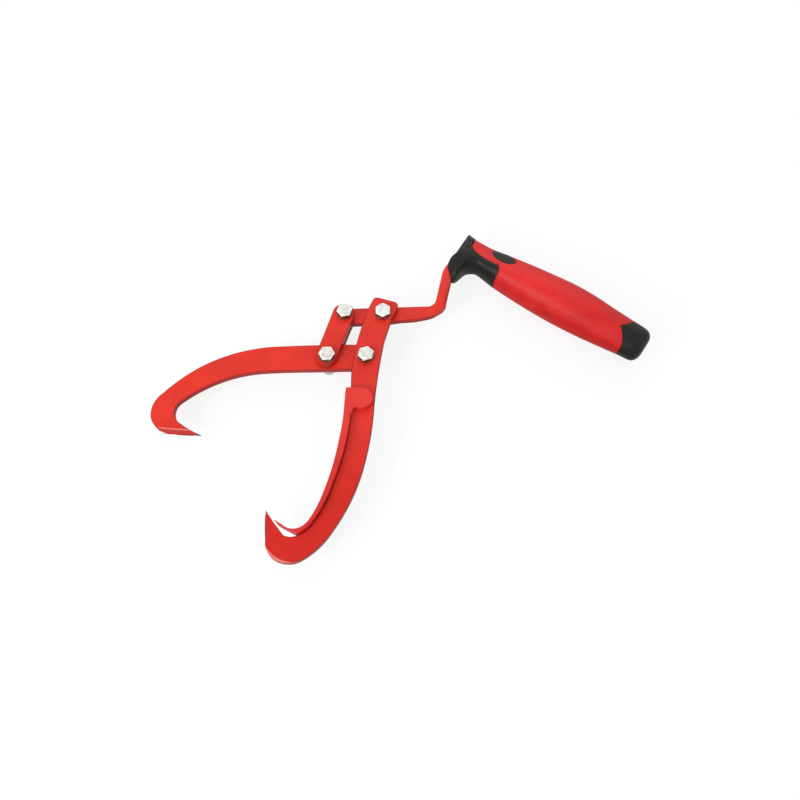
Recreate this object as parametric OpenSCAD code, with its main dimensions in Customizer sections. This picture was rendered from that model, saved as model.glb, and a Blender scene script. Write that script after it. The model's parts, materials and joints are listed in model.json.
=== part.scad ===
// Log tongs: a pair of hooked steel jaws on a four-bar linkage, worked by one moulded grip.
// The tongs lie flat with the pivot bolts upright along Z and the bolt heads on top.
// The origin is the foot of the bolt that joins the two jaws, X runs towards the grip.

/* [Mechanism] */
// Distance between the two pivots of a link, and of the long jaw's shank
link_len = 35.9; // [34:0.1:37]
// Distance between the two pivots of the handle bar, and of the left jaw
pivot_gap = 26.8; // [25.8:0.1:28]
// Angle from the handle bar to the links as photographed, in degrees
link_angle = 71.6; // [67:0.2:75]

/* [Plates] */
// Thickness of the jaws and links
plate_t = 5; // [4:0.5:6]
// Slip gap between two plates that turn on each other
slip = 0.2; // [0.1:0.05:0.4]
// Width of the front link at its lower end
link_w = 14.2; // [13:0.1:14.4]
// Thickness of the flattened end of the handle bar
bar_t = 4.5; // [3.5:0.25:5]

/* [Bolts] */
// Diameter of the pivot bolts
bolt_d = 6; // [5:0.5:6.5]
// Length of a bolt under its head
bolt_len = 24.4; // [24:0.1:30]
// Width across the flats of heads and nuts
hex_af = 10; // [9:0.5:11]
// Height of a bolt head
head_h = 3.5; // [3:0.25:5]
// Height of a lock nut with its collar
nut_h = 6; // [5:0.25:6.25]
// Outer diameter of a washer
washer_d = 11; // [10:0.5:13]
// Thickness of a washer
washer_t = 1; // [0.8:0.1:1.8]
// Radial play of a bolt in a plate that turns on it
play = 0.05; // [0.02:0.01:0.1]

/* [Rub strip] */
// Height by which the strip and its foot stand over the jaw's face
strip_proud = 4.5; // [3:0.5:6]
// Radius of the strip's round foot
foot_r = 7.5; // [6.5:0.25:8]

/* [Handle] */
// Diameter of the handle rod
rod_d = 8; // [7:0.5:8.5]
// Slope of the grip below the handle bar, in degrees
grip_slope = 30; // [26:1:34]
// Length of the grip from its front face to its end
grip_len = 152.5; // [145:1:160]
// Thickness of the soft sleeve over the core
sleeve_t = 2.5; // [2:0.25:3]

/* [Smoothness] */
// Number of points around the grip
grip_sides = 40; // [32:8:48]
// Length of a step along the grip
grip_step = 4; // [3:0.5:6]

/* [Hidden] */

$fn = 48;
eps = 0.01;
reach = 60;

// The four pivots, named for what each one joins
jaw_pivot = [0, 0];
handle_pivot = link_len * [cos(link_angle), sin(link_angle)];
jaw_link = [-pivot_gap, 0];
handle_link = handle_pivot + jaw_link;

// The layers, counted down from the washers under the bolt heads
front_top = bolt_len - washer_t;
front_z = front_top - plate_t;
mid_top = front_z - slip;
mid_z = mid_top - plate_t;
rear_t = plate_t - 2;
rear_top = mid_z - slip;
rear_z = rear_top - rear_t;
core_z = mid_z + plate_t / 2;
bore_r = bolt_d / 2 + play;
bolt_gap = 0.1;
rear_link_w = link_w - 2.2;
link_offset = 0.8;
link_lap = 0.3;
link_flare = 0.6;
side_inset = 0.02;

// The lock nut's collar and the plastic ring held in it
collar_h = 1.8;
collar_r = 4.6;
insert_r = 3.9;
insert_h = 1.4;
insert_lip = 0.3;

// Centre of the circle through three points
function centre_of(a, b, c) =
    let (d = 2 * (a.x * (b.y - c.y) + b.x * (c.y - a.y) + c.x * (a.y - b.y)),
         aa = a * a, bb = b * b, cc = c * c)
    [(aa * (b.y - c.y) + bb * (c.y - a.y) + cc * (a.y - b.y)) / d,
     (aa * (c.x - b.x) + bb * (a.x - c.x) + cc * (b.x - a.x)) / d];

// Angle swept counterclockwise from p to q about o, from 0 to 360
function sweep(o, p, q) =
    let (turn = atan2(q.y - o.y, q.x - o.x) - atan2(p.y - o.y, p.x - o.x))
    turn < 0 ? turn + 360 : turn;

// Points of the arc that runs from a through b towards c, without c itself
function bow(a, b, c, steps = 10) =
    let (o = centre_of(a, b, c),
         r = norm(a - o),
         start = atan2(a.y - o.y, a.x - o.x),
         whole = sweep(o, a, c),
         turn = sweep(o, a, b) < whole ? whole : whole - 360)
    [for (i = [0:steps - 1]) let (t = start + turn * i / steps) o + r * [cos(t), sin(t)]];

// Height of the smooth curve through a table of [place, height] pairs
function curve(table, x, i = 0) =
    x <= table[0][0] ? table[0][1]
    : x >= table[len(table) - 1][0] ? table[len(table) - 1][1]
    : x > table[i + 1][0] ? curve(table, x, i + 1)
    : let (p = table[i], q = table[i + 1],
           before = table[max(i - 1, 0)], after = table[min(i + 2, len(table) - 1)],
           span = q[0] - p[0], t = (x - p[0]) / span,
           lean_p = span * (q[1] - before[1]) / (q[0] - before[0]),
           lean_q = span * (after[1] - p[1]) / (after[0] - p[0]))
      (2 * t^3 - 3 * t^2 + 1) * p[1] + (t^3 - 2 * t^2 + t) * lean_p
      + (3 * t^2 - 2 * t^3) * q[1] + (t^3 - t^2) * lean_q;

// The step in the long jaw's inner edge where the rub strip sits, from its top to the throat
seat_edge = concat(
    bow([-9.1, -25.5], [-11.3, -61], [-19.1, -90.7], 12),
    bow([-19.1, -90.7], [-25, -106.6], [-31.3, -117.6], 6),
    bow([-31.3, -117.6], [-35.7, -122.4], [-41.2, -125.6], 5)
);

// Outline of the long jaw, from the top of its shank round its back to the point
long_jaw_outline = concat(
    bow([8, 46.8], [5.4, 46.4], [4, 44.2], 6),
    bow([1.9, 40], [-4.3, 20], [-8.7, 0], 8),
    [[-9.8, -12], [-9.9, -25.5]],
    seat_edge,
    bow([-41.2, -125.6], [-46.2, -126.4], [-51.2, -124.5], 6),
    [[-56.3, -117], [-61.8, -109.2]],
    bow([-61.8, -109.2], [-61.7, -118], [-60.8, -128.6], 6),
    bow([-60.8, -128.6], [-58.1, -137.4], [-51.4, -142.2], 9),
    bow([-51.4, -142.2], [-45.2, -143.1], [-38.9, -141.7], 6),
    bow([-38.9, -141.7], [-28.1, -133.9], [-19.2, -122.9], 6),
    bow([-19.2, -122.9], [-8.6, -104.3], [-0.6, -82], 8),
    bow([-0.6, -82], [4.3, -57], [6.2, -36], 6),
    bow([6.2, -36], [8.6, -12], [13.9, 19.5], 8),
    [[17.6, 30.3]],
    bow([21.2, 37.6], [21.7, 41.2], [19.1, 43.6], 6)
);

// Outline of the left jaw, from its pivot end along its back to the point
left_jaw_outline = concat(
    bow([0, -7.1], [9.2, 2.3], [0, 11.9], 14),
    [[-12.7, 11.8]],
    bow([-12.7, 11.8], [-42.7, 11.1], [-64.7, 10.1], 4),
    bow([-64.7, 10.1], [-92.1, 4.7], [-114.3, -5.5], 12),
    bow([-114.3, -5.5], [-127.3, -15.1], [-137.9, -25.3], 6),
    bow([-137.9, -25.3], [-143.1, -32.2], [-144.6, -40], 8),
    bow([-144.6, -40], [-142.9, -46.4], [-137.1, -52.1], 9),
    bow([-137.1, -52.1], [-131.7, -54.4], [-125.7, -55.1], 5),
    bow([-125.7, -55.1], [-117.7, -55.6], [-109.2, -55.8], 3),
    bow([-109.2, -55.8], [-117.3, -52], [-124.5, -47.2], 4),
    bow([-124.5, -47.2], [-128.6, -39.8], [-123.9, -30.5], 10),
    bow([-123.9, -30.5], [-99, -15.6], [-68.7, -8.8], 10),
    bow([-68.7, -8.8], [-55.7, -8.2], [-42.7, -7.9], 3),
    [[-42.7, -7.9]]
);

// The rub strip's edge against the log, from the throat to its top
strip_log_edge = concat(
    [[-56.5, -115]],
    bow([-50.7, -118.7], [-46.7, -121.2], [-42.7, -121.9], 5),
    bow([-42.7, -121.9], [-38.3, -120.8], [-34.3, -117.6], 6),
    bow([-34.3, -117.6], [-31.1, -112.3], [-27, -103.4], 5),
    bow([-27, -103.4], [-20.8, -84], [-16.3, -62], 10),
    bow([-16.3, -62], [-14.1, -46], [-13.7, -34], 6),
    [[-13.2, -29], [-12.7, -25.5]]
);
strip_foot = [-2.4, -33.1];
strip_end = concat([[-41.9, -124.9]], bow([-47.3, -122], [-51.1, -120], [-54.7, -117.6], 3));
strip_taper_x = -35.7;
strip_taper = 13.5;
// The web that runs from the foot into the strip
strip_web = concat(
    [[-10.7, strip_foot.y + 1], strip_foot, strip_foot - [0, foot_r]],
    bow([-4.4, -40.3], [-6.5, -40], [-7.9, -41.3], 4),
    [[-8.6, -43.2], [-10, -47]]
);
strip_rise = 1;

// Ground edges of the hooks: width on the face and depth down the edge
bevel_w = 2.6;
bevel_d = 2;
// The left jaw's point is ground along this line
point_heel = [-134.2, -53.9];
point_end = [-109.2, -55.8];
// The belly of the long jaw's hook is ground round this centre, deepest at this angle
belly_turn = 236;
belly_r = 20;
belly = [-47.9, -129.8] + 8.9 * [cos(belly_turn - 180), sin(belly_turn - 180)];

// The handle, from here on, is measured from its own pivot
// Outline of the flattened bar, from its left end to the start of the round neck
neck_angle = 77.5;
neck_dir = [cos(neck_angle), sin(neck_angle)];
neck_side = [sin(neck_angle), -cos(neck_angle)];
neck_start = [41.3, 11.8];
neck_len = 24.8;
bar_end_r = 6.3;
bar_end = [-pivot_gap, 0.3];
bar_outline = concat(
    bow(bar_end + [0, -bar_end_r], bar_end + [-bar_end_r, 0], bar_end + [0, bar_end_r], 14),
    [bar_end + [0, bar_end_r]],
    bow([32.8, 8.7], [36.6, 11], [37.7, neck_start.y + 1], 8),
    [neck_start - neck_side * rod_d / 2 + neck_dir, neck_start + neck_side * rod_d / 2 + neck_dir],
    bow([45.1, 9.5], [43.1, 6.8], [40.1, 4.2], 4),
    bow([40.1, 4.2], [35.4, 1.2], [30.3, -0.8], 6),
    [[23, -2.2], [12, -3.1], [2, -4.7], [-12, -5.4]]
);
// The round neck runs into the flat bar over this length
forge_len = 9;

// Upper bend of the rod and the tang inside the grip
top_bend_r = 14;
bend_lap = 1;
neck_end = neck_start + neck_len * neck_dir;
top_bend = neck_end + top_bend_r * neck_side;
grip_dir = [cos(grip_slope), -sin(grip_slope)];
tang_start = top_bend + top_bend_r * [sin(grip_slope), cos(grip_slope)];
tang_len = 122;
tang_play = 0.1;
bend_play = 0.3;
neck_play = 0.45;

// The grip's own axis starts at its front face and lies on the tang
front_gap = 17;
grip_start = tang_start - front_gap * grip_dir;

// The front face leans back above this height, by this much at most, and the rear face forward
lean_from = -7;
lean_max = 3.5;
end_lean = 0.07;

// Half height above the axis, half height below it and half depth, along the grip
grip_top = [[0, 17.8], [0.6, 19.5], [1.6, 20.1], [4, 19.4], [10, 18], [17, 17.5],
            [26, 17.4], [36, 17.8], [45, 18.1], [70, 18.7], [90, 18.7], [105, 17.3], [125, 14],
            [138, 11.9], [146, 10.8], [150, 9.6], [152, 7.4], [153, 4.8]];
grip_low = [[0, 12.2], [1, 15.4], [3, 17.9], [6, 20.3], [8.6, 21.6], [10.2, 20.8], [11.1, 18.2],
            [11.9, 13.2], [13.2, 9.4], [15.2, 7.2], [18, 5.2], [21, 5], [27, 6.5], [35, 8.3],
            [58, 11.4], [80, 13.6], [105, 14.7], [125, 14.6], [138, 14.2], [146, 14.4], [149, 14.1],
            [151, 12.8], [152.4, 10.2], [153, 7.5]];
grip_deep = [[0, 7.5], [1, 9.4], [3, 10.6], [7, 11.2], [13, 11], [20, 9.8], [27, 10.6], [35, 12.2],
             [60, 14.7], [85, 15.65], [105, 15.2], [125, 13.6], [138, 12.9], [146, 12.1],
             [150, 10.6], [152.3, 7.8], [153, 4.8]];
grip_end_x = grip_top[len(grip_top) - 1][0];
stretch = grip_len / grip_end_x;

// Places along the grip where its section is drawn: close together at both ends
places = concat([0, 0.4, 1, 2, 3, 4.5, 6, 7.5, 8.5], [for (x = [9.25:0.75:13]) x],
                [for (x = [14:1.5:20]) x], [for (x = [22:2:34]) x], [for (x = [36:grip_step:144]) x],
                [146, 148, 149.5, 150.8, 151.8, 152.5, grip_end_x]);

// Plan outlines that part the sleeve from the front bolster and from the end cap
bolster_line = concat(
    [[7.4, 30], [7.7, 18]],
    bow([8, 13], [10.2, 6.6], [15, 3.2], 5),
    [[22, 2.3], [29.6, 1.2]],
    bow([30.5, 1], [35.9, -1.7], [37.4, -5.5], 5),
    [[36, -9], [34.5, -30]]
);
cap_line = concat(
    [[137.4, 30], [137, 11]],
    bow([136.6, 7], [134.4, 2.4], [130, -1], 4),
    bow([130, -1], [134.2, -6.4], [137, -10], 4),
    [[137.2, -12], [136.4, -15], [134.5, -30]]
);
core_len = 144;

// Oval badge beside the grip's crest, its rear end turned down towards the front
badge_at = [34.3, 3.5];
badge_tilt = 38;
badge_turn = -22;
badge_size = [20.2, 11.6];

// The finger groove flares out to both faces of the bolster
flare_at = [19.5, -12];
flare_r = 9.5;
flare_neck_r = 6;
flare_z = 11.5;

// Turns of the four bolt heads, as they happened to be tightened
head_turns = [12, 30, 0, 17];

// A plate of the given plan, with round holes at the listed pivots
module plate(outline, z, t, holes) {
    difference() {
        translate([0, 0, z]) linear_extrude(t) polygon(outline);
        for (p = holes) translate([p.x, p.y, z - 1]) cylinder(r = bore_r, h = t + 2);
    }
}

// The wedge that grinds the edge from p to q, on a top face at height z or a bottom one
module edge_bevel(p, q, z, up) {
    run = q - p;
    translate([p.x, p.y, z]) rotate(atan2(run.y, run.x))
        rotate([90, 0, 90]) translate([0, 0, -4]) linear_extrude(norm(run) + 8)
            polygon([[bevel_w, 0], [bevel_w, up], [-3, up], [-3, -up * bevel_d * (1 + 3 / bevel_w)]]);
}

// The ring that grinds the belly of the long jaw's hook, running in and out of its edge
module belly_bevel() {
    slope = bevel_d / bevel_w;
    rim = 6;
    translate([belly.x, belly.y, front_top]) rotate(belly_turn - 50) rotate_extrude(angle = 100, $fn = 96)
        polygon([[belly_r, 0], [belly_r - 1 / slope, 1], [belly_r + rim, 1], [belly_r + rim, -rim * slope]]);
}

module long_jaw() {
    color("#D8392F") difference() {
        plate(long_jaw_outline, front_z, plate_t, [jaw_pivot, handle_pivot]);
        belly_bevel();
    }
}

module rub_strip() {
    top = front_top + strip_proud;
    low = front_z + strip_rise;
    color("#DF4A42") difference() {
        union() {
            translate([0, 0, low]) linear_extrude(top - low)
                polygon(concat(strip_log_edge, seat_edge, strip_end));
            translate([0, 0, front_top]) linear_extrude(top - front_top) {
                translate(strip_foot) circle(foot_r);
                translate([-10.7, strip_foot.y]) square([10.7 + strip_foot.x, foot_r]);
                polygon(strip_web);
            }
        }
        rotate([90, 0, 0]) linear_extrude(600, center = true)
            polygon([[strip_taper_x, top + eps], [strip_taper_x - reach, top + eps],
                     [strip_taper_x - reach, top - reach * tan(strip_taper)]]);
    }
}

module left_jaw() {
    color("#DC3B31") difference() {
        plate(left_jaw_outline, mid_z, plate_t, [jaw_pivot, jaw_link]);
        edge_bevel(point_heel, point_end, mid_top, 1);
        edge_bevel(point_heel, point_end, mid_z, -1);
    }
}

// A link with round ends, from the left jaw to the handle bar: the places and radii of its ends.
// Its straight sides lie a hair inside the ends' tangents, so that they cross the round ends.
module link(z, t, low, low_r, high, high_r) {
    span = handle_link - jaw_link;
    run = high - low;
    turn = atan2(run.y, run.x);
    side = acos((low_r - high_r) / norm(run));
    left = [cos(turn + side), sin(turn + side)];
    right = [cos(turn - side), sin(turn - side)];
    low_side = low_r - side_inset;
    high_side = high_r - side_inset;
    translate([jaw_link.x, jaw_link.y, z]) rotate(atan2(span.y, span.x)) difference() {
        union() {
            translate([low.x, low.y, 0]) cylinder(r = low_r, h = t);
            translate([high.x, high.y, 0]) cylinder(r = high_r, h = t);
            linear_extrude(t)
                polygon([low + low_side * right, high + high_side * right,
                         high + high_side * left, low + low_side * left]);
        }
        for (x = [0, link_len]) translate([x, 0, -1]) cylinder(r = bore_r, h = t + 2);
    }
}

module front_link() {
    color("#DC3B31")
        link(front_z, plate_t, [link_lap, link_offset], link_w / 2,
             [link_len - link_lap, link_offset], link_w / 2 + link_flare);
}

module rear_link() {
    color("#D8392F")
        link(rear_z, rear_t, [0, 0], rear_link_w / 2, [link_len, 0], rear_link_w / 2);
}

// Turns the handle's own plan into the shared frame, at the height of its middle
module on_handle() {
    translate([handle_pivot.x, handle_pivot.y, core_z]) children();
}

// The same for the grip: x runs along it from its front face, y up its crest
module on_grip() {
    on_handle() translate([grip_start.x, grip_start.y, 0]) rotate(-grip_slope) children();
}

module handle_rod() {
    color("#DC3B31") on_handle() union() {
        difference() {
            union() {
                linear_extrude(bar_t, center = true) polygon(bar_outline);
                neck_root();
            }
            for (x = [0, -pivot_gap]) translate([x, 0, -bar_t])
                cylinder(r = bore_r, h = 2 * bar_t);
        }
        translate([neck_start.x, neck_start.y, 0]) rotate(neck_angle) rotate([0, 90, 0])
            cylinder(d = rod_d, h = neck_len);
        translate([top_bend.x, top_bend.y, 0]) rotate(90 - grip_slope - bend_lap)
            rotate_extrude(angle = neck_angle + grip_slope + 2 * bend_lap, $fn = 96)
                translate([top_bend_r, 0]) circle(d = rod_d + 0.04);
        translate([tang_start.x, tang_start.y, 0]) rotate(-grip_slope) rotate([0, 90, 0])
            cylinder(d = rod_d, h = tang_len);
    }
}

// The root of the neck, where the round rod was forged down to the flat bar
module neck_root() {
    rise = (rod_d - bar_t) / 2;
    intersection() {
        linear_extrude(rod_d, center = true) polygon(bar_outline);
        translate([neck_start.x, neck_start.y, 0]) rotate(neck_angle) intersection() {
            rotate([0, 90, 0]) translate([0, 0, -forge_len]) cylinder(d = rod_d, h = forge_len + 1);
            rotate([90, 0, 0]) linear_extrude(2 * rod_d, center = true)
                polygon([[-forge_len, -bar_t / 2 + eps], [-1, -bar_t / 2 - rise], [1, -bar_t / 2 - rise],
                         [1, bar_t / 2 + rise], [-1, bar_t / 2 + rise], [-forge_len, bar_t / 2 - eps]]);
        }
    }
}

// One section of the grip at place x, set in from its surface by the given amount
function grip_ring(x, inset) =
    let (up = curve(grip_top, x) - inset,
         down = curve(grip_low, x) - inset,
         deep = curve(grip_deep, x) - inset)
    [for (i = [0:grip_sides - 1])
        let (t = 360 * i / grip_sides, y = (sin(t) > 0 ? up : down) * sin(t))
        [x * stretch + lean(x, y), y, deep * cos(t)]];

// Backward lean of the grip's front end, and forward lean of its rear end, at place x and height y
function lean(x, y) =
    lean_max * max(0, min(1, (y - lean_from) / 10, (19.5 - y) / 11)) * max(0, min(1, (14 - x) / 12))
    - end_lean * max(0, 4 - y) * max(0, min(1, (x - 138) / 12));

// The solid grip between two places along it, set in from its surface
module grip_form(inset = 0, from = 0, to = grip_end_x) {
    xs = [for (x = places) if (x >= from && x <= to) x];
    points = [for (x = xs) each grip_ring(x, inset)];
    last = len(xs) - 1;
    n = grip_sides;
    sides = [for (k = [0:last - 1], i = [0:n - 1])
        let (a = k * n + i, b = k * n + (i + 1) % n)
        each [[a, b, b + n], [a, b + n, a + n]]];
    ends = [[for (i = [0:n - 1]) n - 1 - i], [for (i = [0:n - 1]) last * n + i]];
    polyhedron(points, concat(sides, ends), convexity = 6);
}

// The slab of space in front of the bolster line, or behind the cap line
module region(line, side) {
    linear_extrude(2 * reach, center = true)
        polygon(concat(line, [[side, -30], [side, 30]]));
}

module badge_form() {
    translate([badge_at.x, badge_at.y, 0]) rotate([-badge_tilt, 0, 0]) rotate(badge_turn)
        scale([badge_size.x / 2, badge_size.y / 2, 1]) cylinder(r = 1, h = 30);
}

module tang_hole() {
    translate([front_gap - 0.3, 0, 0]) rotate([0, 90, 0])
        cylinder(r = rod_d / 2 + tang_play, h = tang_len + 1);
}

module grip_core() {
    color("#232826") on_grip() difference() {
        union() {
            intersection() {
                grip_form(0, 0, 44);
                region(bolster_line, -10);
            }
            grip_form(sleeve_t, 1, core_len);
        }
        for (side = [0, 180]) rotate([side, 0, 0]) groove_flare(side > 0 ? -1 : 1);
        tang_hole();
        bend_hole();
        neck_hole();
    }
}

// The flare of the finger groove on one face
module groove_flare(flip) {
    translate([flare_at.x, flip * flare_at.y, 2])
        cylinder(r1 = flare_neck_r, r2 = flare_r, h = flare_z);
}

// Room for the rod's upper bend where it enters the bolster
module bend_hole() {
    translate([front_gap, -top_bend_r, 0]) rotate(88) rotate_extrude(angle = 110, $fn = 96)
        translate([top_bend_r, 0]) circle(r = rod_d / 2 + bend_play);
}

// Room for the end of the straight neck in the lip below the bend
module neck_hole() {
    translate([front_gap, -top_bend_r, 0]) rotate(neck_angle + grip_slope - 2)
        translate([0, top_bend_r, 0]) rotate([0, -90, 0])
            cylinder(r = rod_d / 2 + neck_play, h = 12);
}

module grip_sleeve() {
    color("#D9262B") on_grip() difference() {
        grip_form(0, 8.5, 144);
        region(bolster_line, -10);
        region(cap_line, 170);
        grip_form(sleeve_t, 1, core_len);
        badge_form();
    }
}

module grip_badge() {
    color("#2A302B") on_grip() intersection() {
        difference() {
            grip_form(0, 20, 52);
            grip_form(sleeve_t, 16, 56);
        }
        badge_form();
    }
}

module grip_end_cap() {
    color("#232826") on_grip() difference() {
        intersection() {
            grip_form(0, 126, grip_end_x);
            region(cap_line, 170);
        }
        grip_form(sleeve_t, 120, core_len);
    }
}

// Places a fastener at a pivot
module at(p) { translate([p.x, p.y, 0]) children(); }

// A hexagon bolt with its head on top, from z = 0 to its head
module hex_bolt(turn) {
    color("#C9C9C4") union() {
        cylinder(d = bolt_d, h = bolt_len);
        translate([0, 0, bolt_len]) rotate(turn) intersection() {
            cylinder(r = hex_af / sqrt(3), h = head_h, $fn = 6);
            rotate_extrude() polygon([[0, 0], [hex_af, 0], [hex_af, head_h / 2],
                                      [hex_af * 0.49, head_h], [0, head_h]]);
        }
    }
}

module washer(z) {
    color("#BDBDB8") translate([0, 0, z]) difference() {
        cylinder(d = washer_d, h = washer_t);
        translate([0, 0, -1]) cylinder(r = bolt_d / 2 + 0.2, h = washer_t + 2);
    }
}

// A lock nut below height z, its collar pointing down
module lock_nut(z, turn) {
    color("#BDBDB8") translate([0, 0, z - nut_h]) difference() {
        union() {
            translate([0, 0, collar_h]) rotate(turn) intersection() {
                cylinder(r = hex_af / sqrt(3), h = nut_h - collar_h, $fn = 6);
                rotate_extrude() polygon([[0, 0], [hex_af * 0.49, 0], [hex_af * 0.6, 0.7],
                                          [hex_af * 0.6, nut_h], [0, nut_h]]);
            }
            cylinder(r = collar_r, h = collar_h + 0.5);
        }
        translate([0, 0, -1]) cylinder(r = bolt_d / 2 + 0.02, h = nut_h + 2);
        translate([0, 0, insert_lip]) cylinder(r = insert_r, h = insert_h);
        translate([0, 0, -1]) cylinder(r = insert_r - 0.6, h = insert_lip + 1.5);
    }
}

module nut_insert(z) {
    color("#2B4C8C") translate([0, 0, z - nut_h + insert_lip]) difference() {
        cylinder(r = insert_r, h = insert_h);
        translate([0, 0, -1]) cylinder(r = bolt_d / 2 + 0.02, h = insert_h + 2);
    }
}

// The jaw pivots clamp two layers, the links three
short_z = mid_z - bolt_gap;
long_z = rear_z;

module handle_pivot_bolt() { at(handle_pivot) hex_bolt(head_turns[1]); }
module jaw_pivot_bolt() { at(jaw_pivot) hex_bolt(head_turns[3]); }
module handle_link_bolt() { at(handle_link) hex_bolt(head_turns[0]); }
module jaw_link_bolt() { at(jaw_link) hex_bolt(head_turns[2]); }

module handle_pivot_washer() { at(handle_pivot) washer(front_top); }
module jaw_pivot_washer() { at(jaw_pivot) washer(front_top); }
module handle_link_washer() { at(handle_link) washer(front_top); }
module jaw_link_washer() { at(jaw_link) washer(front_top); }

module handle_pivot_nut_washer() { at(handle_pivot) washer(short_z - washer_t); }
module jaw_pivot_nut_washer() { at(jaw_pivot) washer(short_z - washer_t); }
module handle_link_nut_washer() { at(handle_link) washer(long_z - washer_t); }
module jaw_link_nut_washer() { at(jaw_link) washer(long_z - washer_t); }

module handle_pivot_nut() { at(handle_pivot) lock_nut(short_z - washer_t, 10); }
module jaw_pivot_nut() { at(jaw_pivot) lock_nut(short_z - washer_t, 25); }
module handle_link_nut() { at(handle_link) lock_nut(long_z - washer_t, 5); }
module jaw_link_nut() { at(jaw_link) lock_nut(long_z - washer_t, 20); }

module handle_pivot_nut_insert() { at(handle_pivot) nut_insert(short_z - washer_t); }
module jaw_pivot_nut_insert() { at(jaw_pivot) nut_insert(short_z - washer_t); }
module handle_link_nut_insert() { at(handle_link) nut_insert(long_z - washer_t); }
module jaw_link_nut_insert() { at(jaw_link) nut_insert(long_z - washer_t); }

long_jaw();
rub_strip();
left_jaw();
front_link();
rear_link();
handle_rod();
grip_core();
grip_sleeve();
grip_badge();
grip_end_cap();
handle_pivot_bolt();
jaw_pivot_bolt();
handle_link_bolt();
jaw_link_bolt();
handle_pivot_washer();
jaw_pivot_washer();
handle_link_washer();
jaw_link_washer();
handle_pivot_nut_washer();
jaw_pivot_nut_washer();
handle_link_nut_washer();
jaw_link_nut_washer();
handle_pivot_nut();
jaw_pivot_nut();
handle_link_nut();
jaw_link_nut();
handle_pivot_nut_insert();
jaw_pivot_nut_insert();
handle_link_nut_insert();
jaw_link_nut_insert();
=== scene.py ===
"""Log tongs: two hooked steel jaws on a four-bar linkage, worked by one moulded grip."""

import json
import math

import bmesh
import bpy
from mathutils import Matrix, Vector

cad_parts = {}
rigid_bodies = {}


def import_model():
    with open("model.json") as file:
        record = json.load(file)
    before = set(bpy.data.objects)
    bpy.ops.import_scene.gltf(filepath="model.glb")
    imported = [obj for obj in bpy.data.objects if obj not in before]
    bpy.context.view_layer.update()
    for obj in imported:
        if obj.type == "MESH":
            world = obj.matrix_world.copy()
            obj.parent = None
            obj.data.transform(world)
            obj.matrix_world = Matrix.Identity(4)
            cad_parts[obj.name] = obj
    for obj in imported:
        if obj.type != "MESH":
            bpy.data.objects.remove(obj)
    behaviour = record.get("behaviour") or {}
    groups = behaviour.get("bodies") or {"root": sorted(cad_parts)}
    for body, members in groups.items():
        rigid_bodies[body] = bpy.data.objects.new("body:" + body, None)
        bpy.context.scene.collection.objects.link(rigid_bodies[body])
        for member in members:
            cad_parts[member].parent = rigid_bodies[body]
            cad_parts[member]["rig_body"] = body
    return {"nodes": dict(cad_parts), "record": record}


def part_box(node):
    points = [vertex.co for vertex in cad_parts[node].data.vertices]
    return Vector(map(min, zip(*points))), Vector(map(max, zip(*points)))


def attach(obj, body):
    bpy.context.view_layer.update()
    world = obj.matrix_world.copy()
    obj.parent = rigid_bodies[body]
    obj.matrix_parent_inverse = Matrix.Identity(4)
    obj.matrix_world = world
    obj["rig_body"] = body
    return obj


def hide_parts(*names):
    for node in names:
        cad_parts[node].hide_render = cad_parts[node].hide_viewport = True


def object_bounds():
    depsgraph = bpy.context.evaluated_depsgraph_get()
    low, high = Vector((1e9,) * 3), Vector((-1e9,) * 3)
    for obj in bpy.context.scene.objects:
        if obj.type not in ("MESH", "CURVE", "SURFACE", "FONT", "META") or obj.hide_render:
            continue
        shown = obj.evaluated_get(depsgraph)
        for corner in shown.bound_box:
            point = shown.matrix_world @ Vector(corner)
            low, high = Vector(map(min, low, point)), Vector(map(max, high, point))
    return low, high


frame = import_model()
cad_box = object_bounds()

MM = 0.001
scene = bpy.context.scene
mounts = {mount["name"]: mount for mount in frame["record"]["mounts"]}
hook_points = [Vector(mounts[name]["pos_m"]) for name in ("left_point", "right_point")]
pivots = ("handle_pivot", "jaw_pivot", "handle_link", "jaw_link")


# Materials

def shade(red, green, blue):
    """A colour written as 0 to 255 on a screen, as the shader's linear colour."""
    def linear(level):
        level /= 255
        return level / 12.92 if level <= 0.04045 else ((level + 0.055) / 1.055) ** 2.4
    return (linear(red), linear(green), linear(blue), 1.0)


def dimmed(colour, share):
    """The same colour with a share of its light."""
    return tuple(share * level for level in colour[:3]) + (1.0,)


class Wire:
    """What comes out of a node. Arithmetic on it adds Math nodes to its finish."""

    def __init__(self, finish, socket):
        self.finish = finish
        self.socket = socket

    def maths(self, operation, first, second=0.0):
        return self.finish.node("ShaderNodeMath", {"operation": operation}, {0: first, 1: second})

    def __add__(self, other):
        return self.maths("ADD", self, other)

    def __radd__(self, other):
        return self.maths("ADD", other, self)

    def __sub__(self, other):
        return self.maths("SUBTRACT", self, other)

    def __rsub__(self, other):
        return self.maths("SUBTRACT", other, self)

    def __mul__(self, other):
        return self.maths("MULTIPLY", self, other)

    def __rmul__(self, other):
        return self.maths("MULTIPLY", other, self)

    def sine(self):
        return self.maths("SINE", self)

    def at_least(self, other):
        return self.maths("MAXIMUM", self, other)


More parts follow.
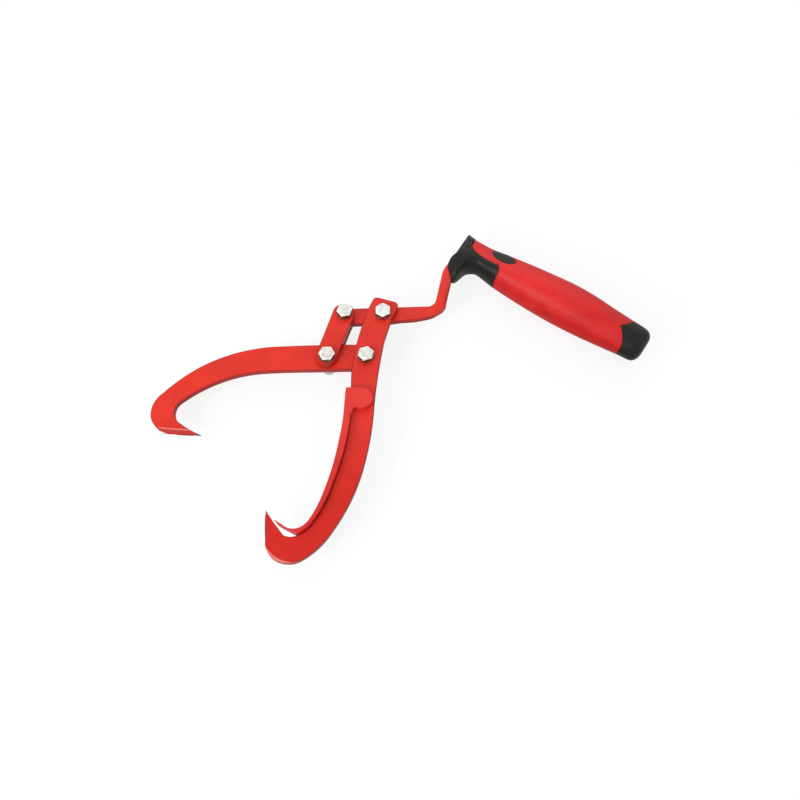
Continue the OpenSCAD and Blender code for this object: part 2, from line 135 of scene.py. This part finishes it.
class Finish:
    """A material or world in the making. Every node in it comes from the method node."""

    def __init__(self, owner):
        self.owner = owner
        owner.use_nodes = True
        self.tree = owner.node_tree
        self.tree.nodes.clear()

    def node(self, kind, settings=None, sockets=None, out=0):
        made = self.tree.nodes.new(kind)
        for name, value in (settings or {}).items():
            setattr(made, name, value)
        for name, value in (sockets or {}).items():
            if isinstance(value, Wire):
                self.tree.links.new(value.socket, made.inputs[name])
            else:
                made.inputs[name].default_value = value
        return None if out is None else Wire(self, made.outputs[out])

    def place(self):
        return self.node("ShaderNodeTexCoord", out="Object")

    def moved(self, vector, location, turn=0.0):
        """Coordinates about a new centre, turned round Z by an angle."""
        return self.node("ShaderNodeMapping", {"vector_type": "TEXTURE"},
                         {"Vector": vector, "Location": location, "Rotation": (0, 0, turn)})

    def part_of(self, vector, axis):
        return self.node("ShaderNodeSeparateXYZ", None, {"Vector": vector}, axis)

    def attribute(self, name):
        return self.node("ShaderNodeAttribute", {"attribute_name": name}, out="Fac")

    def noise(self, vector, grain, detail=3.0, rough=0.5):
        """Cloudy values about 0.5, in lumps of the given size in millimetres."""
        return self.node("ShaderNodeTexNoise", None,
                         {"Vector": vector, "Scale": 1 / (grain * MM), "Detail": detail,
                          "Roughness": rough}, "Fac")

    def step(self, value, low, high, start=0.0, end=1.0):
        """Runs smoothly from start to end as the value goes from low to high."""
        return self.node("ShaderNodeMapRange", {"interpolation_type": "SMOOTHSTEP"},
                         {"Value": value, "From Min": low, "From Max": high,
                          "To Min": start, "To Max": end})

    def window(self, value, low, high, rise, fall):
        """1 between two places and 0 outside them, all in millimetres, with soft ends inside."""
        return (self.step(value, low * MM, (low + rise) * MM)
                * self.step(value, (high - fall) * MM, high * MM, 1.0, 0.0))

    def blend(self, share, first, second):
        return self.node("ShaderNodeMix", {"data_type": "RGBA"}, {0: share, 6: first, 7: second}, 2)

    def far_from(self, vector, point):
        return self.node("ShaderNodeVectorMath", {"operation": "DISTANCE"},
                         {0: vector, 1: point}, "Value")

    def bump(self, height, depth):
        """Relief of the given depth in millimetres from heights between 0 and 1."""
        return self.node("ShaderNodeBump", None, {"Height": height, "Distance": depth * MM})

    def surface(self, **sockets):
        """Ends the finish in one shader. A socket's name has its spaces written as underscores."""
        named = {name.replace("_", " "): value for name, value in sockets.items()}
        shader = self.node("ShaderNodeBsdfPrincipled", None, named)
        self.node("ShaderNodeOutputMaterial", None, {"Surface": shader}, None)
        return self.owner


def new_finish(name):
    return Finish(bpy.data.materials.new(name))


# Dark red where a face is marked as edge: thinner paint on the rounded rims, and painted shade on the
# cut sides and the left jaw's ground facet
THIN_PAINT_AND_SHADE_RED = shade(92, 8, 12)
# Pale pink painted highlight on faces marked as ground
PAINTED_HIGHLIGHT_RED = shade(244, 166, 158)
DARK_STEEL = shade(50, 40, 40)
BRIGHT_STEEL = shade(92, 78, 76)
# Brownish red for zinc faces marked as edge: painted shade and a painted reflection of the red plates
ZINC_PAINTED_SHADE = shade(138, 102, 90)
# Painted shade: from here towards the front (-Y) the paint deepens to its shaded colour
PAINTED_SHADE_START = -40 * MM
PAINTED_SHADE_END = -110 * MM
BARE_POINT = 1.5 * MM
PAINTED_AGAIN = 6 * MM


def red_paint(name, colour, shaded_colour):
    """Gloss enamel on flat steel: darker on rims and cut sides (thin paint there, and painted shade),
    a painted shade deepening towards the front, a painted highlight on ground faces, and bare hook
    points.
    """
    paint = new_finish(name)
    place = paint.place()
    cloud = paint.noise(place, 22, 4)
    speck = paint.noise(place, 0.9, 2)
    peel = paint.noise(place, 1.8, 2)
    grit = paint.noise(place, 0.5, 2)
    # Painted shade deepening towards the front
    low = paint.step(paint.part_of(place, 1), PAINTED_SHADE_END, PAINTED_SHADE_START, 1.0, 0.0)
    coat = paint.blend(low, colour, shaded_colour)
    deep = paint.blend(low, dimmed(colour, 0.88), dimmed(shaded_colour, 0.88))
    body = paint.blend(paint.step(cloud + 0.25 * (speck - 0.5), 0.35, 0.65), deep, coat)
    # Edge mark: thin paint on the rims, and painted shade on the cut sides and facets
    thin_paint_and_shade = paint.attribute("edge") * paint.step(paint.noise(place, 5, 3), 0.3, 0.6, 0.7, 1.0)
    body = paint.blend(thin_paint_and_shade, body, THIN_PAINT_AND_SHADE_RED)
    # Painted highlight on faces marked as ground
    body = paint.blend(paint.attribute("ground") * (0.7 + 0.6 * (speck - 0.5)), body, PAINTED_HIGHLIGHT_RED)
    near = [paint.step(paint.far_from(place, point), BARE_POINT, PAINTED_AGAIN, 1.0, 0.0)
            for point in hook_points]
    worn = paint.step(near[0].at_least(near[1]) + 0.5 * (speck - 0.5), 0.5, 0.75)
    steel = paint.blend(speck, DARK_STEEL, BRIGHT_STEEL)
    return paint.surface(
        Base_Color=paint.blend(worn, body, steel),
        Metallic=0.3 * worn,
        Roughness=paint.step(cloud + 0.4 * (speck - 0.5), 0.3, 0.7, 0.3, 0.4),
        Specular_IOR_Level=0.22,
        Coat_Weight=0.1 - 0.1 * worn,
        Coat_Roughness=0.1,
        Normal=paint.bump(0.6 * peel + 0.4 * grit, 0.05))


def zinc_plate(name, dull, bright):
    """Zinc on turned and stamped steel, with painted shade and a painted red reflection where the
    piece is marked as edge.
    """
    zinc = new_finish(name)
    place = zinc.place()
    cloud = zinc.noise(place, 3, 4)
    grit = zinc.noise(place, 0.3, 3)
    plate = zinc.blend(zinc.step(cloud + 0.3 * (grit - 0.5), 0.3, 0.7), dull, bright)
    return zinc.surface(
        Base_Color=zinc.blend(zinc.attribute("edge"), plate, ZINC_PAINTED_SHADE),
        Metallic=1.0,
        Roughness=zinc.step(cloud + 0.3 * (grit - 0.5), 0.3, 0.7, 0.26, 0.4),
        Normal=zinc.bump(grit, 0.02))


def black_plastic(name):
    """Moulded plastic with a fine satin grain."""
    plastic = new_finish(name)
    place = plastic.place()
    cloud = plastic.noise(place, 12, 3)
    grain = plastic.noise(place, 0.35, 2)
    return plastic.surface(
        Base_Color=plastic.blend(cloud, shade(11, 14, 10), shade(21, 24, 18)),
        Roughness=plastic.step(cloud + 0.4 * (grain - 0.5), 0.3, 0.7, 0.36, 0.48),
        Specular_IOR_Level=0.26,
        Normal=plastic.bump(grain, 0.025))


# The diamonds' size and the part of the sleeve that has them, measured from the middle of the grip
DIAMOND_LONG = 2.6 * MM
DIAMOND_HIGH = 2.2 * MM
LATTICE_ALONG = (-42, 60)
LATTICE_ACROSS = (-16, 5)


def red_rubber(name):
    """Soft moulding, smooth on its crest, with a fine diamond pattern pressed into its flanks."""
    rubber = new_finish(name)
    place = rubber.place()
    axis = mounts["hand_grip"]["axis"]
    held = rubber.moved(place, mounts["hand_grip"]["pos_m"], math.atan2(axis[1], axis[0]))
    along = rubber.part_of(held, 0)
    across = rubber.part_of(held, 1)
    turns_along = along * (math.tau / DIAMOND_LONG)
    turns_across = across * (math.tau / DIAMOND_HIGH)
    rising = ((turns_along + turns_across) * 0.5).sine()
    falling = ((turns_along - turns_across) * 0.5).sine()
    studs = 0.5 + 0.5 * rising * falling
    inside = rubber.window(along, *LATTICE_ALONG, 8, 6) * rubber.window(across, *LATTICE_ACROSS, 3, 4)
    cloud = rubber.noise(place, 16, 3)
    grain = rubber.noise(place, 0.4, 2)
    rear = rubber.step(along, -30 * MM, 60 * MM, 0.08, -0.12)
    tone = rubber.step(cloud + 0.22 * inside * (studs - 0.3) + rear, 0.22, 0.84)
    return rubber.surface(
        Base_Color=rubber.blend(tone, shade(206, 20, 22), shade(232, 38, 36)),
        Roughness=rubber.step(cloud + 0.4 * (grain - 0.5), 0.3, 0.7, 0.42, 0.54),
        Specular_IOR_Level=0.32,
        Normal=rubber.bump(0.6 * inside * studs + 0.4 * grain, 0.045))


def nylon(name):
    """Blue plastic ring of a lock nut."""
    ring = new_finish(name)
    place = ring.place()
    cloud = ring.noise(place, 2, 3)
    return ring.surface(
        Base_Color=ring.blend(cloud, shade(40, 76, 140), shade(54, 92, 158)),
        Roughness=ring.step(cloud, 0.3, 0.7, 0.4, 0.5),
        Normal=ring.bump(ring.noise(place, 0.3, 2), 0.02))


# A paint's second colour is its painted shade towards the front
plate_paint = red_paint("plate_paint", shade(231, 49, 34), shade(213, 32, 20))
# A lighter, pinker copy of the plate paint: painted light on the raised strip and its foot
lit_strip_paint = red_paint("lit_strip_paint", shade(234, 58, 50), shade(216, 44, 38))
head_zinc = zinc_plate("head_zinc", shade(206, 211, 207), shade(238, 234, 228))
# Dark zinc for the washers: painted shade for the shadow of the heads and nuts over them
shaded_washer_zinc = zinc_plate("shaded_washer_zinc", shade(98, 88, 84), shade(124, 112, 106))
core_plastic = black_plastic("core_plastic")
sleeve_rubber = red_rubber("sleeve_rubber")
insert_nylon = nylon("insert_nylon")


# Shapes. Every copy has two face attributes, edge and ground, which its material reads.

FLAT = 0.99
UPRIGHT = 0.05
SAME_POINT = 0.001
TINY_EDGE = 0.002


def add_piece(shape, node, material, crease=35):
    """Turns a bmesh into the finished piece that stands for a CAD node and rides on its body."""
    shape.normal_update()
    name = node + "_finished"
    mesh = bpy.data.meshes.new(name)
    shape.to_mesh(mesh)
    shape.free()
    mesh.shade_smooth()
    mesh.set_sharp_from_angle(angle=math.radians(crease))
    mesh.materials.append(material)
    piece = bpy.data.objects.new(name, mesh)
    scene.collection.objects.link(piece)
    flat = piece.modifiers.new("flat_faces", "WEIGHTED_NORMAL")
    flat.keep_sharp = True
    flat.weight = 100
    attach(piece, frame["nodes"][node]["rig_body"])
    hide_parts(node)
    return piece


def copy_of(node):
    """A merged copy of a CAD node's mesh, with its flat faces whole again."""
    shape = bmesh.new()
    shape.from_mesh(frame["nodes"][node].data)
    for layer in list(shape.loops.layers.uv):
        shape.loops.layers.uv.remove(layer)
    shape.faces.layers.float.new("edge")
    shape.faces.layers.float.new("ground")
    bmesh.ops.remove_doubles(shape, verts=shape.verts, dist=SAME_POINT * MM)
    bmesh.ops.dissolve_limit(shape, angle_limit=math.radians(0.5), use_dissolve_boundaries=False,
                             verts=shape.verts, edges=shape.edges, delimit=set())
    return shape


def sharp_edges(shape, sharp, above=-1.0):
    """Edges that turn by more than the given angle and lie above the given height in metres."""
    return [e for e in shape.edges
            if e.is_manifold and e.calc_face_angle() > math.radians(sharp)
            and min(v.co.z for v in e.verts) > above]


def rim_edges(shape, flat=FLAT, top_only=False):
    """Edges between a flat face and an upright one."""
    rim = []
    for e in shape.edges:
        if e.is_manifold:
            level = max((f.normal.z for f in e.link_faces), key=abs)
            upright = min(abs(f.normal.z) for f in e.link_faces)
            if upright < UPRIGHT and (level if top_only else abs(level)) > flat:
                rim.append(e)
    return rim


def round_edges(shape, edges, radius, rows=3, share=1.0):
    """Rounds the given edges over, and marks the new faces as edge by the given share."""
    made = bmesh.ops.bevel(shape, geom=edges, offset=radius * MM, offset_type="OFFSET",
                           segments=rows, profile=0.5, affect="EDGES", material=-1,
                           clamp_overlap=False)["faces"]
    mark = shape.faces.layers.float["edge"]
    for face in made:
        face[mark] = share
    bmesh.ops.dissolve_degenerate(shape, dist=TINY_EDGE * MM, edges=shape.edges)
    shape.normal_update()


def mark_sides(shape, share, low=-1.0, high=1.0, reach=1.0):
    """Marks the upright faces between two heights, as far as the given place along X."""
    mark = shape.faces.layers.float["edge"]
    for face in shape.faces:
        middle = face.calc_center_median()
        if abs(face.normal.z) < UPRIGHT and low < middle.z < high and middle.x < reach:
            face[mark] = share


def rounded_node(node, material, radius, rows=2, sharp=35):
    """Stands for a CAD node with its sharp edges rounded over."""
    shape = copy_of(node)
    round_edges(shape, sharp_edges(shape, sharp), radius, rows, 0.0)
    return add_piece(shape, node, material)


# Steel plates: radius of their rims, and the share of dark edge colour on each kind of face (thin
# paint on rims, painted shade on sides and facets) or of painted highlight on ground faces
PLATE_ROUND = 0.45
SIDE_SHADE_SHARE = 0.35
FRONT_RIM_SHADE_SHARE = 0.35
BELLY_HIGHLIGHT_SHARE = 0.8
FACET_SHADE_SHARE = 0.45
LINE_HIGHLIGHT_SHARE = 0.6
# Lean of the ground edges, and the reach of the ground line and of the sharp tips
GROUND_LEVEL = math.cos(math.radians(37.6))
GROUND_PLAY = 0.01
LINE_REACH = 6 * MM
TIP_KEPT = 2.5 * MM
# The handle rod is flat as far as this along X, and round beyond it
FLAT_BAR_REACH = 46 * MM


def far_from_points(edge):
    return min((v.co - tip).length for v in edge.verts for tip in hook_points) > TIP_KEPT


def ground_faces(shape):
    """Faces that lean as the ground edges of the hooks do."""
    return [f for f in shape.faces if abs(f.normal.z - GROUND_LEVEL) < GROUND_PLAY]


def lighten_front_rim_shade(shape):
    """Makes the painted shade lighter on the upper rims that face the front."""
    mark = shape.faces.layers.float["edge"]
    for face in shape.faces:
        if face[mark] == 1.0 and face.normal.z > 0.1 and face.normal.y < -0.1:
            face[mark] = FRONT_RIM_SHADE_SHARE


def painted_plate(node, reach=1.0):
    """Stands for a flat CAD node: its rims are rounded, its cut sides marked as edge for painted
    shade, and its leaning ground faces given a painted highlight.
    """
    shape = copy_of(node)
    rim = [e for e in rim_edges(shape) if max(v.co.x for v in e.verts) < reach
           and far_from_points(e)]
    round_edges(shape, rim, PLATE_ROUND)
    # Painted shade on the cut sides
    mark_sides(shape, SIDE_SHADE_SHARE, reach=reach)
    lighten_front_rim_shade(shape)
    ground = shape.faces.layers.float["ground"]
    # Painted highlight on the faces that lean like the ground edges
    for face in ground_faces(shape):
        face[ground] = BELLY_HIGHLIGHT_SHARE
    return add_piece(shape, node, plate_paint)


def left_jaw():
    """Its point is ground along a straight line, which is rounded; the facet gets painted shade and
    the rounded line a painted highlight.
    """
    shape = copy_of("left_jaw")
    edges = [e for e in sharp_edges(shape, 35) if far_from_points(e)
             and max(abs(f.normal.z) for f in e.link_faces) > 0.1]
    round_edges(shape, edges, PLATE_ROUND)
    # Painted shade on the cut sides
    mark_sides(shape, SIDE_SHADE_SHARE)
    lighten_front_rim_shade(shape)
    mark = shape.faces.layers.float["edge"]
    ground = shape.faces.layers.float["ground"]
    # The ground facet gets painted shade
    for face in ground_faces(shape):
        face[mark] = FACET_SHADE_SHARE
    # The rounded ground line gets a painted highlight
    line_end = mounts["left_point"]["pos_m"][1] + LINE_REACH
    for face in shape.faces:
        along_line = abs(face.normal.x) < 0.3 * abs(face.normal.y)
        on_line = GROUND_LEVEL + GROUND_PLAY < face.normal.z < 0.9999 and along_line
        if on_line and face.calc_center_median().y < line_end:
            face[mark] = 0.0
            face[ground] = LINE_HIGHLIGHT_SHARE
    return add_piece(shape, "left_jaw", plate_paint)


def rub_strip():
    """The strip and its foot, softly rounded along their upper rim."""
    shape = copy_of("rub_strip")
    round_edges(shape, rim_edges(shape, 0.9, True), 0.42, 4, 0.0)
    return add_piece(shape, "rub_strip", lit_strip_paint)


# Bolts: the dish in a head as insets and depths, then the thread
HEAD_ROUND = 0.2
TOP_PLAY = 0.05 * MM
TOP_MERGE = 0.1 * MM
DISH = ((0.8, 0), (0.4, -0.3))
DISH_SHADE_SHARE = 0.1
THREAD_PITCH = 1.0 * MM
THREAD_DEPTH = 0.45 * MM
THREAD_STEPS = 24
THREAD_ABOVE_NUT = 0.4 * MM
RIDGE_LIFT = 0.7 * MM
RIDGE_DROP = 0.45 * MM
RIDGE_SUNK = 0.05 * MM
CHAMFER_HIGH = 0.5 * MM
CHAMFER_WIDE = 0.4 * MM
SHANK_END = 1 * MM


def dish(shape, height):
    """Presses a shallow dish into the top face at this height, with a little painted shade so it is
    dimmer than its rim.
    """
    top = [f for f in shape.faces
           if f.normal.z > FLAT and f.calc_center_median().z > height - TOP_PLAY]
    for width, depth in DISH:
        bmesh.ops.inset_region(shape, faces=top, thickness=width * MM, depth=depth * MM,
                               use_even_offset=True)
    mark = shape.faces.layers.float["edge"]
    for face in top:
        face[mark] = DISH_SHADE_SHARE


def cut_thread(shape, centre, foot, start, radius):
    """Turns the free end of a shank down to its root and winds the thread's ridge round it."""
    cut = bmesh.ops.bisect_plane(shape, geom=shape.verts[:] + shape.edges[:] + shape.faces[:],
                                 plane_co=(0, 0, start), plane_no=(0, 0, 1), clear_inner=True)
    rim = [e for e in cut["geom_cut"] if isinstance(e, bmesh.types.BMEdge)]
    end = bmesh.ops.contextual_create(shape, geom=rim)["faces"]
    bmesh.ops.inset_region(shape, faces=end, thickness=THREAD_DEPTH, depth=0.0)
    for drop, width in ((start - foot - CHAMFER_HIGH, 0.0), (CHAMFER_HIGH, CHAMFER_WIDE)):
        grown = bmesh.ops.extrude_face_region(shape, geom=end)["geom"]
        bmesh.ops.delete(shape, geom=end, context="FACES_ONLY")
        end = [f for f in grown if isinstance(f, bmesh.types.BMFace)]
        ring = [v for v in grown if isinstance(v, bmesh.types.BMVert)]
        bmesh.ops.translate(shape, verts=ring, vec=(0, 0, -drop))
        share = 1 - width / (radius - THREAD_DEPTH)
        for v in ring:
            v.co.x = centre.x + (v.co.x - centre.x) * share
            v.co.y = centre.y + (v.co.y - centre.y) * share
    wind_ridge(shape, centre, foot + RIDGE_LIFT, start - RIDGE_DROP, radius)


def wind_ridge(shape, centre, low, high, radius):
    """Winds a closed three-sided ridge round an upright axis from one height to another."""
    root = radius - THREAD_DEPTH - RIDGE_SUNK
    half = 0.42 * THREAD_PITCH
    corners = [shape.verts.new((centre.x + out, centre.y, low + rise))
               for out, rise in ((root, -half), (radius, 0), (root, half))]
    profile = [shape.edges.new((corners[i - 1], corners[i])) for i in range(3)]
    turns = (high - low) / THREAD_PITCH
    steps = max(3, round(turns * THREAD_STEPS))
    before = set(shape.faces)
    bmesh.ops.spin(shape, geom=corners + profile, cent=centre, axis=(0, 0, 1),
                   dvec=(0, 0, (high - low) / steps), angle=-turns * math.tau, steps=steps,
                   use_merge=False, use_duplicate=False)
    ridge = [f for f in shape.faces if f not in before]
    ends = [e for f in ridge for e in f.edges if e.is_boundary]
    ridge += bmesh.ops.holes_fill(shape, edges=list(set(ends)), sides=3)["faces"]
    bmesh.ops.recalc_face_normals(shape, faces=ridge)


def bolt(pivot):
    """A hexagon bolt with a dished head and a thread that shows under its nut."""
    node = pivot + "_bolt"
    low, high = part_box(node)
    centre = Vector(((low.x + high.x) / 2, (low.y + high.y) / 2, 0))
    shape = copy_of(node)
    radius = max((Vector((v.co.x, v.co.y, 0)) - centre).length
                 for v in shape.verts if v.co.z < low.z + SHANK_END)
    round_edges(shape, sharp_edges(shape, 25, low.z + SHANK_END), HEAD_ROUND, 2, 0.0)
    # Painted shade and red reflection on the head's sides
    mark_sides(shape, 1.0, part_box(pivot + "_washer")[1].z, high.z)
    top = [v for v in shape.verts if v.co.z > high.z - TOP_PLAY]
    bmesh.ops.remove_doubles(shape, verts=top, dist=TOP_MERGE)
    dish(shape, high.z)
    nut_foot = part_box(pivot + "_nut")[0].z
    cut_thread(shape, centre, low.z, nut_foot + THREAD_ABOVE_NUT, radius)
    return add_piece(shape, node, head_zinc, 30)


for node in ("long_jaw", "front_link", "rear_link"):
    painted_plate(node)
left_jaw()
painted_plate("handle_rod", FLAT_BAR_REACH)
rub_strip()

for pivot in pivots:
    bolt(pivot)
    rounded_node(pivot + "_washer", shaded_washer_zinc, 0.25)
    rounded_node(pivot + "_nut_washer", shaded_washer_zinc, 0.25)
    rounded_node(pivot + "_nut", head_zinc, 0.15)
    rounded_node(pivot + "_nut_insert", insert_nylon, 0.1)

rounded_node("grip_core", core_plastic, 0.3, sharp=50)
rounded_node("grip_sleeve", sleeve_rubber, 0.5, 3, sharp=50)
rounded_node("grip_badge", core_plastic, 0.3, sharp=50)
rounded_node("grip_end_cap", core_plastic, 0.3, sharp=50)


# Floor, lights and camera

PAPER_SHARE = 0.2
PAPER_GRAIN = 0.004
PAPER_GLOW = 0.82
GLOSSY_SHARE = 0.6
SKY_LEVEL = 0.68
FLOOR_HALF = 3
# The photograph's width and focal length in its own pixels
PHOTO_WIDTH = 800
FOCAL_LENGTH = 820
SENSOR_WIDTH = 36
# The camera looks at this point of the plates' upper face, from this far and this high
VIEW_AIM = Vector((23.37, -33.02, 23.4)) * MM
VIEW_DISTANCE = 550 * MM
VIEW_HEIGHT = math.radians(66)


def light_paths(finish):
    """Whether a ray comes from the camera, from a glossy surface or through a clear one."""
    return [finish.node("ShaderNodeLightPath", out=kind)
            for kind in ("Is Camera Ray", "Is Glossy Ray", "Is Transmission Ray")]


def add_floor():
    """White paper that keeps a pale shadow and sends back little light of its own."""
    paper = new_finish("white_paper")
    straight, glossy, through = light_paths(paper)
    seen = straight.at_least(GLOSSY_SHARE * glossy).at_least(through)
    under = paper.node("ShaderNodeNewGeometry", out="Backfacing")
    grain = paper.noise(paper.place(), 3, 2)
    low, high = ((PAPER_SHARE + nudge,) * 3 + (1.0,) for nudge in (-PAPER_GRAIN, PAPER_GRAIN))
    sheet = paper.node("ShaderNodeBsdfDiffuse", None, {"Color": paper.blend(grain, low, high)})
    glow = paper.node("ShaderNodeEmission", None, {"Strength": PAPER_GLOW * seen})
    lit = paper.node("ShaderNodeAddShader", None, {0: sheet, 1: glow})
    clear = paper.node("ShaderNodeBsdfTransparent")
    both = paper.node("ShaderNodeMixShader", None, {0: under, 1: lit, 2: clear})
    paper.node("ShaderNodeOutputMaterial", None, {"Surface": both}, None)
    shape = bmesh.new()
    bmesh.ops.create_grid(shape, x_segments=1, y_segments=1, size=FLOOR_HALF)
    mesh = bpy.data.meshes.new("floor")
    shape.to_mesh(mesh)
    shape.free()
    mesh.materials.append(paper.owner)
    floor = bpy.data.objects.new("floor", mesh)
    scene.collection.objects.link(floor)


def add_world():
    """White wherever it is seen or mirrored, and dimmer as a light."""
    sky = Finish(bpy.data.worlds.new("studio"))
    straight, glossy, through = light_paths(sky)
    seen = straight.at_least(glossy).at_least(through)
    background = sky.node("ShaderNodeBackground", None,
                          {"Color": (1, 1, 1, 1), "Strength": SKY_LEVEL + (1 - SKY_LEVEL) * seen})
    sky.node("ShaderNodeOutputWorld", None, {"Surface": background}, None)
    scene.world = sky.owner


def aimed(thing, name, place, aim):
    """Puts a lamp or camera at a place, turned towards its aim."""
    holder = bpy.data.objects.new(name, thing)
    holder.location = place
    holder.rotation_euler = (Vector(aim) - Vector(place)).to_track_quat("-Z", "Y").to_euler()
    scene.collection.objects.link(holder)
    return holder


def add_lamp(name, place, size, power):
    """A square soft lamp turned towards the middle of the tongs."""
    lamp = bpy.data.lights.new(name, "AREA")
    lamp.shape = "SQUARE"
    lamp.size = size
    lamp.energy = power
    aimed(lamp, name, place, (cad_box[0] + cad_box[1]) / 2)


def add_camera():
    """The photograph's view."""
    lens = bpy.data.cameras.new("camera")
    lens.sensor_width = SENSOR_WIDTH
    lens.lens = SENSOR_WIDTH * FOCAL_LENGTH / PHOTO_WIDTH
    lens.clip_start = 0.01
    lens.clip_end = 20
    back = Vector((0, -math.cos(VIEW_HEIGHT), math.sin(VIEW_HEIGHT)))
    scene.camera = aimed(lens, "camera", VIEW_AIM + VIEW_DISTANCE * back, VIEW_AIM)


add_floor()
add_world()
add_lamp("key", (-0.75, -0.6, 0.72), 0.6, 6.5)
add_lamp("fill", (0.3, 0.9, 0.8), 0.8, 2.0)
add_camera()
scene.view_settings.view_transform = "Standard"
